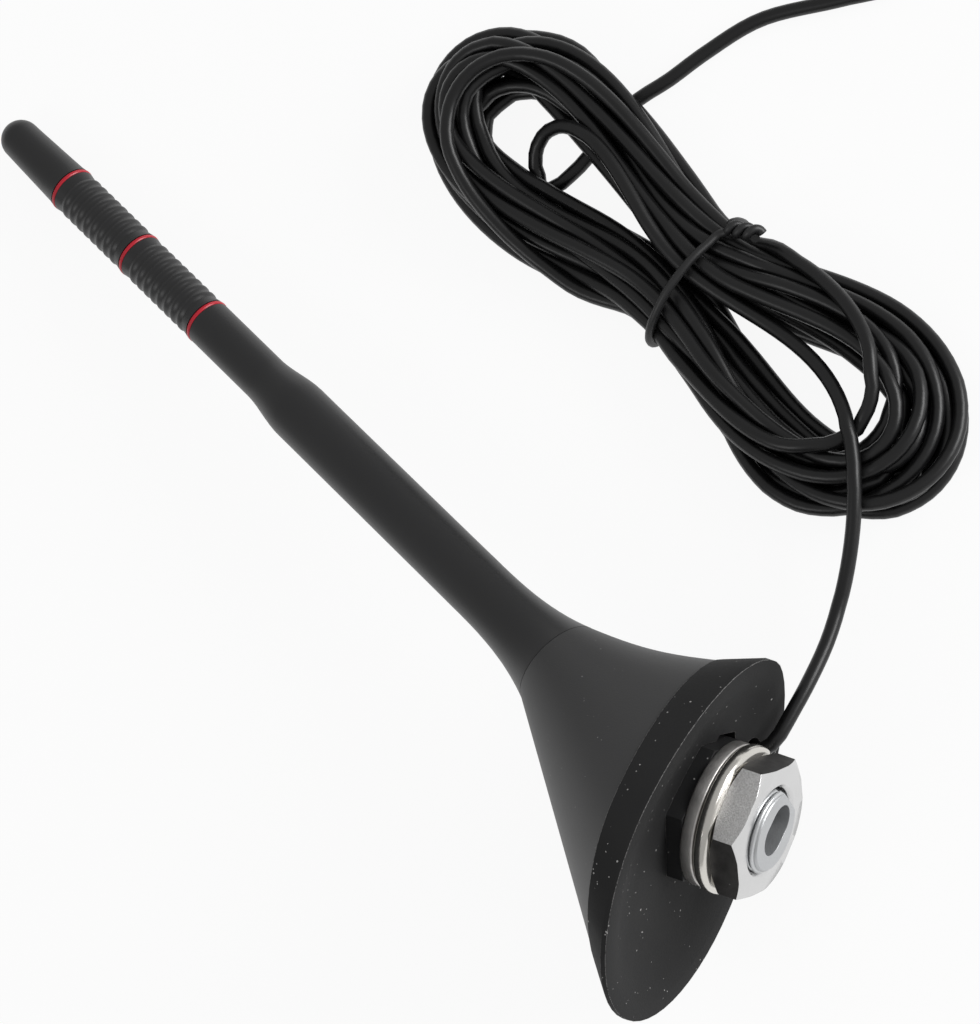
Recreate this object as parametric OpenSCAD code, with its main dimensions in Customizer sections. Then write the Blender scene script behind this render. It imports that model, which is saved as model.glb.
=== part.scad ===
// Roof antenna for a car: a rod mast on an oblique cone, with its threaded stud and coiled lead.
// The pieces are drawn about the stud (up is out of the roof, +X is rearward) and then laid on the floor.

/* [Base outline] */
// Distance from the widest station forward to the nose
nose_len = 28.9; // [22:0.5:40]
// Distance from the widest station back to the rear end
tail_len = 42.1; // [32:0.5:60]
// Half of the greatest width
half_w = 27.3; // [22:0.1:36]
// Distance of the widest station ahead of the stud
wide_ahead = 12; // [6:0.5:16]
// Power of the outline's rear half, 2 for a true ellipse
tail_power = 1.8; // [1.6:0.05:2.2]

/* [Gasket] */
// Height of the seam above the sealing face, at the stud
seam_h = 7.3; // [6:0.1:10]
// Slope of the seam, higher at the rear
seam_slope = 2.6; // [0:0.1:4]
// Height of the upright lip along the sealing face
lip_h = 1.0; // [1:0.1:3]
// How far the wall leans in at the nose, up to the seam
nose_draft = 5.4; // [2:0.1:8]
// How far the wall leans in at the rear
tail_draft = 2.8; // [0.5:0.1:4]
// How far the wall leans in at the sides
side_draft = 0.9; // [0.2:0.1:3]
// Width of the flat sealing face
rim_w = 3.2; // [2:0.1:7]
// Depth of the dished underside
dish_depth = 2.4; // [1:0.1:4]
// Width of the slope between sealing face and dish
dish_slope_w = 11; // [3:0.5:14]

/* [Housing] */
// Wall thickness of the cone
wall = 2.4; // [1.6:0.1:3.5]
// Bow of the cone's sides, 1 for straight sides
flare = 1.0; // [1:0.05:1.8]
// How far the cone's rear is hollowed in between its ends
rear_hollow = 1.2; // [0:0.1:2]
// Step from the gasket's edge in to the cone
seam_step = 0.3; // [0.1:0.1:1]

/* [Mast] */
// Lean of the mast back from upright
lean = 23.4; // [10:0.1:35]
// Where the mast's axis crosses the sealing face, from the stud
foot_x = -0.6; // [-4:0.1:4]
// Distance along the mast's axis to the foot seam
seam_s = 43.2; // [38:0.1:56]
// Length of the mast above the seam
mast_len = 170.4; // [130:1:240]
// Radius of the flared foot at the seam
foot_r = 9.1; // [8:0.1:12]
// Length over which the foot flares out
foot_flare = 24; // [12:1:30]
// Radius of the thick lower part
lower_r = 6.0; // [5.2:0.1:7.5]
// Distance from the foot seam to the start of the shoulder
shoulder_s = 77.5; // [60:0.5:95]
// Length of the shoulder
shoulder_len = 11; // [5:0.5:16]
// Radius of the slim upper part
upper_r = 4.65; // [4.2:0.05:5]
// Radius of the round tip
tip_r = 3.95; // [3.4:0.05:4.6]

/* [Ribs and rings] */
// Distance from one red ring to the next
ring_pitch = 21.6; // [16:0.1:26]
// Distance from the foot seam to the lowest red ring
ring_s = 106.5; // [90:0.5:112]
// Width of a red ring
ring_w = 0.8; // [0.5:0.1:1.4]
// Width of the groove that a ring sits in
ring_groove_w = 1.1; // [0.7:0.1:2]
// Depth of a ring's groove
ring_groove_d = 0.6; // [0.3:0.1:1]
// Plain land between a ring and the first rib
rib_land = 1.7; // [1:0.1:4]
// Ribs in each band
rib_count = 8; // [4:1:10]
// Depth between two ribs
rib_depth = 0.35; // [0.1:0.05:0.6]

/* [Stud, nut and washers] */
// Outer diameter of the hollow stud
stud_d = 16; // [12:0.5:18]
// Pitch of its thread: a turn moves the nut this far, and the thread itself is not drawn
stud_pitch = 1; // [0.75:0.25:1.5]
// Width of the stud's long hole
stud_bore_w = 7.2; // [5:0.1:9]
// Length of the stud's long hole
stud_bore_len = 9.8; // [9:0.1:12]
// Depth of the flat on the stud's rear
stud_flat = 1.7; // [0.8:0.1:2]
// How far the stud stands out of the nut
stud_proud = 1.2; // [0:0.1:3]
// Nut, across its flats
nut_af = 24; // [22:0.5:27]
// Thickness of the nut
nut_h = 5.6; // [4:0.1:8]
// Turn of the nut about the stud
nut_angle = 54; // [0:1:59]
// Outer diameter of the flat washer
washer_d = 27.2; // [24:0.2:30]
// Thickness of the flat washer
washer_t = 2.6; // [1.5:0.1:3]
// Outer diameter of the spring washer
spring_d = 28; // [24:0.2:30]
// Thickness of the spring washer
spring_t = 2.9; // [2:0.1:4]
// Opening between the spring washer's ends
split_w = 1.6; // [0.8:0.1:4]
// Locating block, across its flats
block_af = 24.6; // [22:0.1:26]
// How far the block stands below the sealing face
block_drop = 0.9; // [0.5:0.1:3]
// Clearance around the block in the gasket
block_gap = 1.3; // [0.8:0.1:2.5]

/* [Inner pieces] */
// Thickness of the metal base plate
plate_t = 3; // [2:0.1:4]
// Clearance between the base plate and the cone's wall
plate_gap = 0.3; // [0.1:0.1:1]
// Outer diameter of the brass mast socket
socket_d = 9; // [8:0.2:10]
// Length of the mast socket
socket_len = 14; // [10:0.5:16]
// Diameter of the mast's screw
screw_d = 5; // [4:0.5:6]
// Pitch of the mast's screw: a turn moves the mast this far
screw_pitch = 0.8; // [0.7:0.05:1]
// Length of the mast's screw
screw_len = 9; // [6:0.5:11]
// Diameter of the glass-fibre rod
rod_d = 3; // [2:0.1:4]
// Diameter of the wire winding on the rod
winding_d = 4.4; // [3.8:0.1:5]
// Running clearance of turning pieces, on the radius
run_gap = 0.05; // [0.02:0.01:0.1]
// Plate screws: thread diameter
fix_d = 2.9; // [2.2:0.1:3.5]
// Plate screws: head diameter
fix_head_d = 5.6; // [4:0.1:6]

/* [Lead] */
// Diameter of the coaxial lead
lead_d = 2.8; // [2.4:0.1:3.4]
// Distance of the lead's hole behind the stud
exit_x = 13.6; // [13.2:0.1:16]
// Distance of the lead's hole to the side of the stud
exit_y = 8.6; // [8.2:0.1:11]

/* [Plug] */
// Outer diameter of the plug's barrel
barrel_d = 9.4; // [8:0.1:12]
// Length of the plug's barrel
barrel_len = 24; // [18:0.5:34]
// Diameter of the plug's pin
pin_d = 3.6; // [2.5:0.1:4.5]
// Length of the pin in front of the barrel
pin_len = 10; // [6:0.5:14]
// Length of the tapered boot behind the barrel
boot_len = 18; // [12:0.5:26]

/* [Lying position] */
// Roll about the mast at which the antenna comes to rest
roll = 14; // [-15:0.5:15]

/* [Hidden] */
around = 56;
rings_up = 12;
fn_fine = 64;
fn_small = 32;
bite = 0.01;
fit_gap = 0.03;
seat_gap = 0.02;
slot_gap = 1.2;
slot_len = 2.6;
washer_gap = 0.25;
split_angle = -4;
nut_face = 1.02;
stud_chamfer = 0.7;
stud_wall = 0.9;
stud_bore_depth = 15;
foot_gap = 0.08;
bush_r = 6.4;
cavity_top = 0.72;
fix_head_t = 1.6;
fix_len = 5;
post_d = 7;
grommet_r = 2.5;
entry_drop = 4.4;
clamp_w = 5;
clamp_t = 0.8;
clamp_reach = 5.2;
clamp_gap = 0.15;
spigot_r = 2.2;
spigot_len = 1.6;
lug_t = 0.6;
lug_reach = 7.5;
ferrule_len = 12;
ferrule_r = 4.2;
rod_seat = 7;
ring_proud = 0.08;
lead_r = lead_d / 2;
socket_r = socket_d / 2;
stud_blank_h = block_drop + washer_t + spring_t + nut_h + stud_proud + seam_h + plate_t / 2;
rod_top = mast_len - 10;
fix_at = [[-21.5, 0], [0, 17.5], [0, -17.5]];
clamp_at = [-3, exit_y];

// The lead on the floor, as points in the laid position: out of the cone and down to the hank
run_route = [[-94.6, -18.2, 13.4], [-95, -21, 13.4], [-90.8, -28, 11.4], [-86.8, -38, 7.4],
             [-83.2, -47.8, 6.8], [-79.6, -54.6, 9.6], [-75.9, -59, 11.0]];
// The hank: its round ends as [x, y, radius], its tied waist and its height
hank_ends = [[-62, -74.5, 20.5], [32, -72.5, 18.5]];
hank_waist = [-18, -72.5, 13];
hank_h = 13;
// From under the hank to the plug
tail_route = [[15.6, -89.7, 1.4], [13, -97, 1.4], [10.6, -105, 1.4], [6.5, -116.5, 1.4], [-3.5, -129, 1.4], [-10, -138, 1.4],
              [-11, -148, 1.4], [-4.5, -155.5, 1.8], [4.5, -157, 3.4]];
plug_at = [12, -152.4, barrel_d / 2 + 0.02];
plug_turn = 37;
tie_w = 1.5;
tie_t = 1.1;
tie_tail = 9;
tie_tail_d = 2.2;
tie_half = 13;
tie_h = hank_h + 0.6;
barrel_wall = 0.9;
insulator_len = 9;
insulator_sunk = 1;
collar_len = 7;

// Stack under the sealing face, from the block down to the stud's end
block_z = -block_drop;
washer_z = block_z - washer_t;
spring_z = washer_z - spring_t;
nut_z = spring_z - nut_h;
stud_end_z = nut_z - stud_proud;
stud_r = stud_d / 2;
nut_bore_r = stud_r + run_gap;

// Mast stations, measured from the foot seam
tip_s = mast_len - tip_r;
top_ring_s = ring_s + 2 * ring_pitch;
rib_pitch = (ring_pitch - ring_groove_w - 2 * rib_land) / rib_count;

function power(c, e) = sign(c) * pow(abs(c), 2 / e);

// Egg-shaped outline: an ellipse in front of the widest station, a slightly pointed one behind it
function egg(inset_nose, inset_tail, inset_side) = [
    for (i = [0 : around - 1])
        let (t = 360 * i / around, c = cos(t), s = sin(t), e = c < 0 ? 2 : tail_power)
            [(c < 0 ? nose_len - inset_nose : tail_len - inset_tail) * power(c, e) - wide_ahead,
             (half_w - inset_side) * power(s, e)]
];
function seam_z(x) = seam_h + x * tan(seam_slope);
function seam_point(p) = [
    p[0] * cos(seam_slope) - p[2] * sin(seam_slope),
    p[1],
    seam_h + p[0] * sin(seam_slope) + p[2] * cos(seam_slope)
];
function lift(outline, z) = [for (p = outline) [p[0], p[1], z]];
function lift_seam(outline, dz = 0) = [for (p = outline) [p[0], p[1], seam_z(p[0]) + dz]];

// A point on a circle about the mast's axis, s along it from the sealing face
function on_mast(s, r, t) = [
    foot_x + s * sin(lean) + r * cos(t) * cos(lean),
    r * sin(t),
    s * cos(lean) - r * cos(t) * sin(lean)
];
function mast_ring(s, r) = [for (i = [0 : around - 1]) on_mast(s, r, 360 * i / around)];

// A closed skin over a stack of loops with the same number of points, lowest loop first
module loft(loops) {
    n = len(loops[0]);
    k = len(loops);
    sides = [
        for (j = [0 : k - 2], i = [0 : n - 1], h = [0, 1])
            let (a = j * n + i, b = j * n + (i + 1) % n)
                h == 0 ? [a, a + n, b] : [b, a + n, b + n]
    ];
    floor_face = [[for (i = [0 : n - 1]) i]];
    roof_face = [[for (i = [0 : n - 1]) k * n - 1 - i]];
    polyhedron(points = [for (l = loops) each l], faces = concat(floor_face, sides, roof_face));
}

// Lying on its side: own +Y down, the mast along +X, and the tip down on the floor as well
rim_low = concat(lift(egg(0, 0, 0), 0), lift(egg(0, 0, 0), lip_h));
nut_corners = [
    for (i = [0 : 5], z = [nut_z, spring_z])
        let (t = nut_angle + 60 * i, r = nut_af / sqrt(3)) [r * cos(t), r * sin(t), z]
];
function unlean(p) = [
    p[0] * sin(lean) + p[2] * cos(lean),
    -p[0] * cos(lean) + p[2] * sin(lean),
    -p[1]
];
function rolled(p) = [p[0], p[1] * cos(roll) - p[2] * sin(roll), p[1] * sin(roll) + p[2] * cos(roll)];
function tilted(p, a) = [p[0] * cos(a) + p[2] * sin(a), p[1], p[2] * cos(a) - p[0] * sin(a)];
function laid(p, a) = tilted(rolled(unlean(p)), a);
tip_own = on_mast(seam_s + tip_s, 0, 0);
function gap_at(a) = min([for (p = rim_low) laid(p, a)[2]]) - (laid(tip_own, a)[2] - tip_r);
function settle(lo, hi, n) = n == 0 ? (lo + hi) / 2 :
    gap_at((lo + hi) / 2) > 0 ? settle(lo, (lo + hi) / 2, n - 1) : settle((lo + hi) / 2, hi, n - 1);
tilt = settle(0, 20, 24);
outer = [for (p = concat(rim_low, nut_corners, [[0, 0, stud_end_z]])) laid(p, tilt)];
tip_laid = laid(tip_own, tilt);
floor_shift = [
    -(min([for (p = outer) p[0]]) + tip_laid[0] + tip_r) / 2,
    -(min([for (p = outer) p[1]]) + max([for (p = outer) p[1]])) / 2,
    -min([for (p = outer) p[2]])
];

module lay_down() {
    translate(floor_shift)
        rotate([0, tilt, 0])
            rotate([roll, 0, 0])
                rotate([-90, 0, 0])
                    rotate([0, 90 - lean, 0])
                        children();
}
// The mast's own frame: its axis is Z and the foot seam is at Z = 0
module along_mast() {
    translate([foot_x, 0, 0])
        rotate([0, lean, 0])
            translate([0, 0, seam_s])
                children();
}
module on_seam() {
    translate([0, 0, seam_h])
        rotate([0, -seam_slope, 0])
            children();
}

// Gasket: a rubber pad with a flat sealing face, a dished middle and a hexagonal opening
module gasket() {
    color("#2a2a2b") lay_down() difference() {
        union() {
            linear_extrude(height = lip_h)
                polygon(egg(0, 0, 0));
            loft([lift(egg(0, 0, 0), lip_h),
                  lift_seam(egg(nose_draft, tail_draft, side_draft))]);
        }
        dish();
        translate([0, 0, -1])
            cylinder(r = block_af / sqrt(3) + block_gap, h = 3 * seam_h, $fn = 6);
        lead_slot();
    }
}
module dish() {
    function inset(d) = egg(d, d, d);
    falls = [0.3, 0.55, 0.8, 1];
    loft(concat([lift(inset(rim_w), -1), lift(inset(rim_w), 0)],
                [for (f = falls) lift(inset(rim_w + dish_slope_w * f), dish_depth * sin(90 * f))]));
}
module lead_slot() {
    w = lead_d + slot_gap;
    for (x = [exit_x, exit_x + slot_len])
        translate([x, exit_y, -1])
            cylinder(d = w, h = 3 * seam_h, $fn = fn_small);
    translate([exit_x, exit_y - w / 2, -1])
        cube([slot_len, w, 3 * seam_h]);
}

// Block that fills the hole in the roof around the stud
module locating_block() {
    color("#1c1c1d") lay_down() difference() {
        translate([0, 0, block_z])
            cylinder(d = block_af * 2 / sqrt(3), h = 2 * seam_h, $fn = 6);
        on_seam()
            translate([-half_w, -half_w, 0])
                cube([2 * half_w, 2 * half_w, 3 * seam_h]);
        translate([0, 0, block_z - 1])
            cylinder(r = stud_r + fit_gap, h = 3 * seam_h, $fn = fn_fine);
    }
}

// Base plate and hollow stud, one zinc casting; the plate's edge follows the cone's inside at its top
plate_station = (plate_t + plate_gap) / (on_mast(seam_s, foot_r, 0)[2] - seam_z(tail_len - wide_ahead));
plate_outline = [for (p = cone_loop(plate_station, wall + plate_gap)) [p[0], p[1]]];
module base_casting() {
    color("#9a9c9e") lay_down() difference() {
        union() {
            on_seam()
                linear_extrude(height = plate_t)
                    polygon(plate_outline);
            translate([0, 0, stud_end_z])
                stud_blank();
        }
        translate([0, 0, stud_end_z])
            stud_cuts();
        on_seam() {
            translate([exit_x, exit_y, -1])
                cylinder(r = grommet_r, h = plate_t + 2, $fn = fn_small);
            for (p = fix_at)
                translate([p[0], p[1], 0])
                    plate_screw_hole();
            translate([clamp_at[0], clamp_at[1] - clamp_reach, 1])
                cylinder(d = fix_d, h = plate_t, $fn = fn_small);
        }
    }
}
module stud_blank() {
    c = stud_chamfer;
    rotate_extrude($fn = fn_fine)
        polygon([[0, 0], [stud_r - c, 0], [stud_r, c], [stud_r, stud_blank_h], [0, stud_blank_h]]);
}
module stud_cuts() {
    flat_x = stud_r - stud_flat;
    translate([flat_x, -stud_d, -1])
        cube([stud_d, 2 * stud_d, block_z - stud_end_z + 1]);
    end_x = flat_x - stud_wall - stud_bore_w / 2;
    start_x = end_x - (stud_bore_len - stud_bore_w);
    for (x = [start_x, end_x])
        translate([x, 0, -1])
            cylinder(d = stud_bore_w, h = stud_bore_depth + 1, $fn = fn_fine);
    translate([start_x, -stud_bore_w / 2, -1])
        cube([end_x - start_x, stud_bore_w, stud_bore_depth + 1]);
}
module plate_screw_hole() {
    translate([0, 0, -1])
        cylinder(d = fix_d + 2 * fit_gap, h = plate_t + 2, $fn = fn_small);
    translate([0, 0, -1])
        cylinder(d = fix_head_d + 0.4, h = fix_head_t + 1, $fn = fn_small);
}

// Cone: a loft from the gasket's outline up to the round foot seam, hollow, with three screw posts
module housing() {
    color("#2d2d2e") lay_down() difference() {
        union() {
            difference() {
                cone(0, 0, 1);
                cone(wall, -0.02, cavity_top);
            }
            intersection() {
                cone(wall / 2, 0, cavity_top + 0.1);
                on_seam()
                    for (p = fix_at)
                        translate([p[0], p[1], plate_t + plate_gap])
                            cylinder(d = post_d, h = seam_s, $fn = fn_small);
            }
            intersection() {
                cone(wall / 2, 0, 1);
                along_mast()
                    translate([0, 0, -socket_len + 1])
                        cylinder(r = bush_r + wall, h = socket_len, $fn = fn_fine);
            }
        }
        along_mast()
            translate([0, 0, -2 * socket_len])
                cylinder(r = bush_r + fit_gap, h = 3 * socket_len, $fn = fn_fine);
        on_seam()
            for (p = fix_at)
                translate([p[0], p[1], 0])
                    cylinder(d = fix_d + 2 * fit_gap, h = plate_t + fix_len, $fn = fn_small);
    }
}
// Station t runs from 0 at the gasket to 1 at the foot seam; inset moves the skin inwards
function cone_loop(t, inset) =
    let (
        low = egg(nose_draft + seam_step + inset, tail_draft + seam_step + inset,
                  side_draft + seam_step + inset),
        high = mast_ring(seam_s, foot_r - inset),
        w = 1 - pow(1 - t, flare)
    )
    [for (i = [0 : around - 1])
        let (
            a = [low[i][0], low[i][1], seam_z(low[i][0])],
            b = high[i],
            hollow = rear_hollow * sin(180 * t) * pow(max(0, cos(360 * i / around)), 2)
        )
            [a[0] + (b[0] - a[0]) * w - hollow, a[1] + (b[1] - a[1]) * w, a[2] + (b[2] - a[2]) * t]];
module cone(inset, t0, t1) {
    loft([for (j = [0 : rings_up]) cone_loop(t0 + (t1 - t0) * j / rings_up, inset)]);
}

module plate_screws() {
    color("#b0b2b4") lay_down() on_seam()
        for (p = fix_at)
            translate([p[0], p[1], 0])
                pan_screw(fix_head_t, plate_t + fix_len - 1);
}
// A cross-recess screw, its head's face at Z = 0 and its shank pointing up
module pan_screw(head_t, length) {
    difference() {
        union() {
            cylinder(d = fix_head_d, h = head_t, $fn = fn_small);
            cylinder(d = fix_d, h = length, $fn = fn_small);
        }
        for (a = [0, 90])
            rotate([0, 0, a])
                translate([-fix_head_d * 0.3, -0.4, -1])
                    cube([fix_head_d * 0.6, 0.8, 1 + head_t * 0.6]);
    }
}

module grommet() {
    color("#202021") lay_down() on_seam()
        translate([exit_x, exit_y, 0])
            difference() {
                union() {
                    cylinder(r = grommet_r - fit_gap, h = plate_t, $fn = fn_small);
                    translate([0, 0, plate_t])
                        cylinder(r = grommet_r + 1, h = 1, $fn = fn_small);
                }
                translate([0, 0, -1])
                    cylinder(r = lead_r + fit_gap, h = plate_t + 3, $fn = fn_small);
            }
}

// A round tube swept along a smooth curve through the given points
function smooth(p, per) = [
    for (i = [0 : len(p) - 2], j = [0 : per - 1])
        let (a = p[max(i - 1, 0)], b = p[i], c = p[i + 1], d = p[min(i + 2, len(p) - 1)], t = j / per)
            0.5 * (2 * b + (c - a) * t + (2 * a - 5 * b + 4 * c - d) * t * t
                   + (3 * b - a - 3 * c + d) * t * t * t),
    p[len(p) - 1]
];
function unit(v) = v / norm(v);
module tube(p, r, sides, up) {
    n = len(p);
    loft([
        for (i = [0 : n - 1])
            let (
                t = unit(p[min(i + 1, n - 1)] - p[max(i - 1, 0)]),
                u = unit(cross(up, t)),
                v = cross(t, u)
            )
            [for (k = [0 : sides - 1])
                p[i] + r * (cos(360 * k / sides) * u + sin(360 * k / sides) * v)]
    ]);
}

// The lead inside the cone: up through the plate, over, and down under the clamp
module lead_entry() {
    z = plate_t + lead_r + 0.05;
    color("#1b1b1c") lay_down() on_seam()
        tube(smooth([
            [exit_x, exit_y, -entry_drop], [exit_x, exit_y, -1], [exit_x, exit_y, plate_t + 2],
            [exit_x - 1.6, exit_y, plate_t + 5.4], [exit_x - 6, exit_y, plate_t + 6.4],
            [exit_x - 12, exit_y, z + 1], [clamp_at[0], clamp_at[1], z],
            [clamp_at[0] - 5, clamp_at[1], z]], 3), lead_r, 8, [0, 1, 0]);
}
module cable_clamp() {
    color("#b9bbbd") lay_down() on_seam()
        difference() {
            translate([clamp_at[0] + clamp_w / 2, clamp_at[1], plate_t])
                rotate([0, -90, 0])
                    linear_extrude(height = clamp_w)
                        clamp_section(lead_r + clamp_gap);
            translate([clamp_at[0], clamp_at[1] - clamp_reach, 0])
                cylinder(d = fix_d + 2 * fit_gap, h = 2 * plate_t, $fn = fn_small);
        }
}
// The strap's section: an arch of inner radius r over the lead, and a foot to one side
module clamp_section(r) {
    intersection() {
        difference() {
            union() {
                translate([lead_r, 0])
                    circle(r = r + clamp_t, $fn = fn_small);
                translate([0, -clamp_reach - clamp_w / 2])
                    square([clamp_t, clamp_reach + clamp_w / 2]);
            }
            translate([lead_r, 0])
                circle(r = r, $fn = fn_small);
            translate([-lead_r, -r])
                square([2 * lead_r, 2 * r]);
        }
        translate([0, -2 * clamp_reach])
            square([4 * clamp_reach, 4 * clamp_reach]);
    }
}
module clamp_screw() {
    color("#b0b2b4") lay_down() on_seam()
        translate([clamp_at[0], clamp_at[1] - clamp_reach, plate_t + clamp_t + fix_head_t])
            rotate([180, 0, 0])
                pan_screw(fix_head_t, fix_head_t + clamp_t + plate_t - 1.2);
}

// Mast socket: a brass insert with a solder spigot, held in a plastic bush
module mast_socket() {
    color("#b8954a") lay_down() along_mast()
        difference() {
            rotate_extrude($fn = fn_fine)
                polygon([[0, -socket_len - spigot_len], [spigot_r, -socket_len - spigot_len],
                         [spigot_r, -socket_len], [socket_r, -socket_len], [socket_r, -foot_gap],
                         [0, -foot_gap]]);
            translate([0, 0, -screw_len - 2])
                cylinder(r = screw_d / 2 + run_gap, h = screw_len + 3, $fn = fn_fine);
        }
}
module socket_bush() {
    color("#d8d4c8") lay_down() along_mast()
        rotate_extrude($fn = fn_fine)
            polygon([[socket_r + fit_gap, -socket_len], [bush_r, -socket_len], [bush_r, -foot_gap],
                     [socket_r + fit_gap, -foot_gap]]);
}
module contact_lug() {
    color("#c9c9c4") lay_down() along_mast()
        translate([0, 0, -socket_len - lug_t - fit_gap])
            difference() {
                union() {
                    cylinder(r = socket_r, h = lug_t, $fn = fn_fine);
                    translate([-lug_reach, -1.2, 0])
                        cube([lug_reach, 2.4, lug_t]);
                }
                translate([0, 0, -1])
                    cylinder(r = spigot_r + fit_gap, h = lug_t + 2, $fn = fn_fine);
            }
}
// The lead's bared core, from the clamp up to the lug
module feed_wire() {
    a = seam_point([clamp_at[0] - 5.15, clamp_at[1], plate_t + lead_r]);
    b = on_mast(seam_s - socket_len - lug_t - 0.6, 1.2 - lug_reach, 0);
    color("#c77f4a") lay_down()
        tube(smooth([a, a + [-3, -0.5, 0.8], a + [-4, -4, 5], (a + b) / 2 + [-3, 0, 2], b], 4),
             0.5, 8, [0.3, 1, 0]);
}

// Mast: the ferrule screws into the socket; everything above turns about it
module mast_ferrule() {
    color("#c2a052") lay_down() along_mast()
        difference() {
            rotate_extrude($fn = fn_fine)
                polygon([[0, -screw_len], [screw_d / 2 - 0.5, -screw_len], [screw_d / 2, -screw_len + 0.5],
                         [screw_d / 2, foot_gap], [ferrule_r, foot_gap], [ferrule_r, ferrule_len],
                         [0, ferrule_len]]);
            translate([0, 0, ferrule_len - rod_seat])
                cylinder(r = rod_d / 2 + run_gap, h = rod_seat + 1, $fn = fn_fine);
        }
}
function s_curve(t) = t * t * (3 - 2 * t);
function foot_profile() = [
    for (i = [0 : 10])
        let (t = i / 10)
            [lower_r + (foot_r - lower_r) * pow(1 - t, 2.6), foot_gap + t * foot_flare]
];
function shoulder_profile() = [
    for (i = [0 : 8])
        let (t = i / 8)
            [lower_r - 0.1 + (upper_r - lower_r + 0.1) * s_curve(t), shoulder_s + t * shoulder_len]
];
// One rib band, its lands included, starting above the groove that ends at s0
function rib_band(s0, r) = [
    for (i = [0 : rib_count - 1], k = [0 : 5])
        let (t = (k + 0.5) / 6)
            [r - rib_depth * (0.5 + 0.5 * cos(360 * t)), s0 + rib_land + (i + t) * rib_pitch]
];
function groove(s, r) = [
    [r, s - ring_groove_w / 2], [r - ring_groove_d, s - ring_groove_w / 2],
    [r - ring_groove_d, s + ring_groove_w / 2], [r, s + ring_groove_w / 2]
];
function tip_profile() = [
    for (i = [0 : 10])
        let (t = 9 * i)
            [tip_r * cos(t), tip_s + tip_r * sin(t)]
];
function sleeve_profile() = concat(
    foot_profile(),
    shoulder_profile(),
    groove(ring_s, upper_r),
    rib_band(ring_s + ring_groove_w / 2, upper_r),
    groove(ring_s + ring_pitch, upper_r),
    rib_band(ring_s + ring_pitch + ring_groove_w / 2, upper_r),
    groove(top_ring_s, upper_r),
    [[upper_r - 0.15, top_ring_s + ring_groove_w / 2 + 1]],
    tip_profile()
);
module mast_sleeve() {
    bore = winding_d / 2 + fit_gap;
    color("#262627") lay_down() along_mast()
        rotate_extrude($fn = fn_fine)
            polygon(concat(
                [[0, rod_top + 0.1], [bore, rod_top + 0.1], [bore, ferrule_len + 0.2],
                 [ferrule_r + run_gap, ferrule_len + 0.2], [ferrule_r + run_gap, foot_gap]],
                sleeve_profile()
            ));
}
module accent_ring(s) {
    r = upper_r + ring_proud;
    color("#b3202c") lay_down() along_mast()
        rotate_extrude($fn = fn_fine)
            translate([0, s - ring_w / 2])
                polygon([[upper_r - ring_groove_d + fit_gap, 0], [r - 0.15, 0], [r, 0.2], [r, ring_w - 0.2],
                         [r - 0.15, ring_w], [upper_r - ring_groove_d + fit_gap, ring_w]]);
}
module ring_lower() { accent_ring(ring_s); }
module ring_middle() { accent_ring(ring_s + ring_pitch); }
module ring_upper() { accent_ring(top_ring_s); }
module whip_rod() {
    color("#cfc9a8") lay_down() along_mast()
        translate([0, 0, ferrule_len - rod_seat + 0.1])
            cylinder(d = rod_d, h = rod_top - ferrule_len + rod_seat - 0.1, $fn = fn_small);
}
module whip_winding() {
    color("#b4692f") lay_down() along_mast()
        translate([0, 0, ferrule_len + 1])
            difference() {
                cylinder(d = winding_d, h = rod_top - ferrule_len - 4, $fn = fn_small);
                translate([0, 0, -1])
                    cylinder(r = rod_d / 2 + fit_gap, h = mast_len, $fn = fn_small);
            }
}

// A bar's section with rounded corners, from r0 to r1 and h high
function bar(r0, r1, h, c) = [
    for (q = [[r0 + c, c, 180], [r1 - c, c, 270], [r1 - c, h - c, 0], [r0 + c, h - c, 90]], k = [0 : 3])
        let (t = q[2] + 30 * k)
            [q[0] + c * cos(t), q[1] + c * sin(t)]
];
module flat_washer() {
    color("#8f8c88") lay_down()
        translate([0, 0, washer_z + seat_gap])
            rotate_extrude($fn = fn_fine)
                polygon(bar(stud_r + washer_gap, washer_d / 2, washer_t - 2 * seat_gap, 0.35));
}
module spring_washer() {
    cut = asin(split_w / spring_d) * 2;
    color("#c9c7c4") lay_down()
        translate([0, 0, spring_z + seat_gap])
            rotate([0, 0, split_angle + cut / 2])
                rotate_extrude(angle = 360 - cut, $fn = fn_fine)
                    polygon(bar(stud_r + washer_gap, spring_d / 2, spring_t - 2 * seat_gap, 1.1));
}
module nut() {
    rc = nut_af / sqrt(3);
    rf = nut_af / 2 * nut_face;
    drop = (rc - rf) * tan(30);
    color("#c4c2bd") lay_down()
        translate([0, 0, nut_z])
            difference() {
                intersection() {
                    rotate([0, 0, nut_angle])
                        cylinder(r = rc, h = nut_h, $fn = 6);
                    rotate_extrude($fn = fn_fine)
                        polygon([[0, 0], [rf, 0], [rc + bite, drop], [rc + bite, nut_h - drop], [rf, nut_h],
                                 [0, nut_h]]);
                }
                translate([0, 0, -1])
                    cylinder(r = nut_bore_r, h = nut_h + 2, $fn = fn_fine);
                translate([0, 0, -bite])
                    cylinder(r1 = nut_bore_r + 0.7, r2 = nut_bore_r, h = 0.7, $fn = fn_fine);
            }
}

// The free lead, drawn as it lies: out of the cone, down to the hank, and from the hank to the plug
module lead_run() {
    start = [for (d = [0.02, 1.5, 3]) laid(seam_point([exit_x, exit_y, -entry_drop - d]), tilt) + floor_shift];
    color("#1b1b1c")
        tube(smooth(concat(start, run_route), 3), lead_r, 8, [0, 0, 1]);
}
module lead_tail() {
    ahead = [cos(plug_turn), sin(plug_turn), 0];
    last = [for (d = [4, 2, 0.05]) plug_at - d * ahead];
    color("#1b1b1c")
        tube(smooth(concat(tail_route, last), 3), lead_r, 8, [0, 0, 1]);
}
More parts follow.
